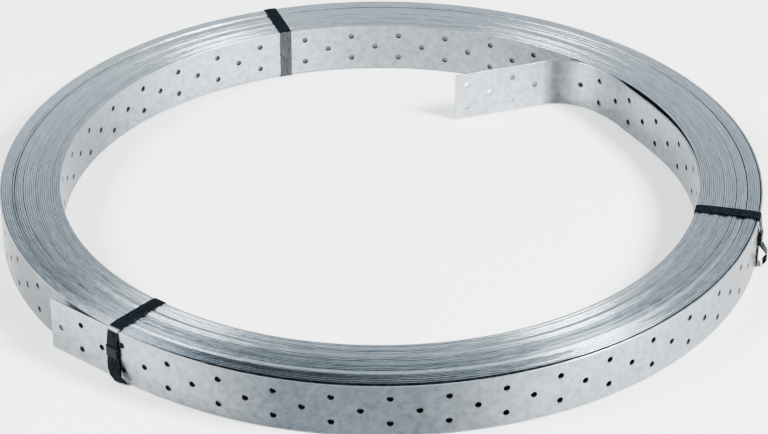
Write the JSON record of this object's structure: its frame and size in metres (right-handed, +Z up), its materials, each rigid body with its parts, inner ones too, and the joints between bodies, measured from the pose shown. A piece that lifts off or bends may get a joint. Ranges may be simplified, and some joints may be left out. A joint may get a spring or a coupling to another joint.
{
  "type": "steel coil",
  "caption": "Flat-lying coil of perforated galvanised steel band, tied with black straps, its free inner end bent into the bore.",
  "frame": {"origin": "on the floor, below the middle of the whole part's bounding box; the coil's own axis stands at x -0.9 mm, y -2.1 mm", "axes": "+Z up along the coil's axis; +X along the straight free inner end, away from its tip; +Y across it, towards the strap behind it"},
  "size_m": [0.58, 0.592, 0.043],
  "materials": {
    "galvanised_band": "galvanised, lightly spangled, satin",
    "black_strap": "black lacquered strapping, satin",
    "strap_seal": "dull grey crimped steel"
  },
  "bodies": {
    "root": {"steel_band": "galvanised_band", "strap_back": "black_strap", "strap_right": "black_strap", "strap_front": "black_strap", "seal_back": "strap_seal", "seal_right": "strap_seal", "seal_front": "strap_seal"}
  },
  "joints": []
}
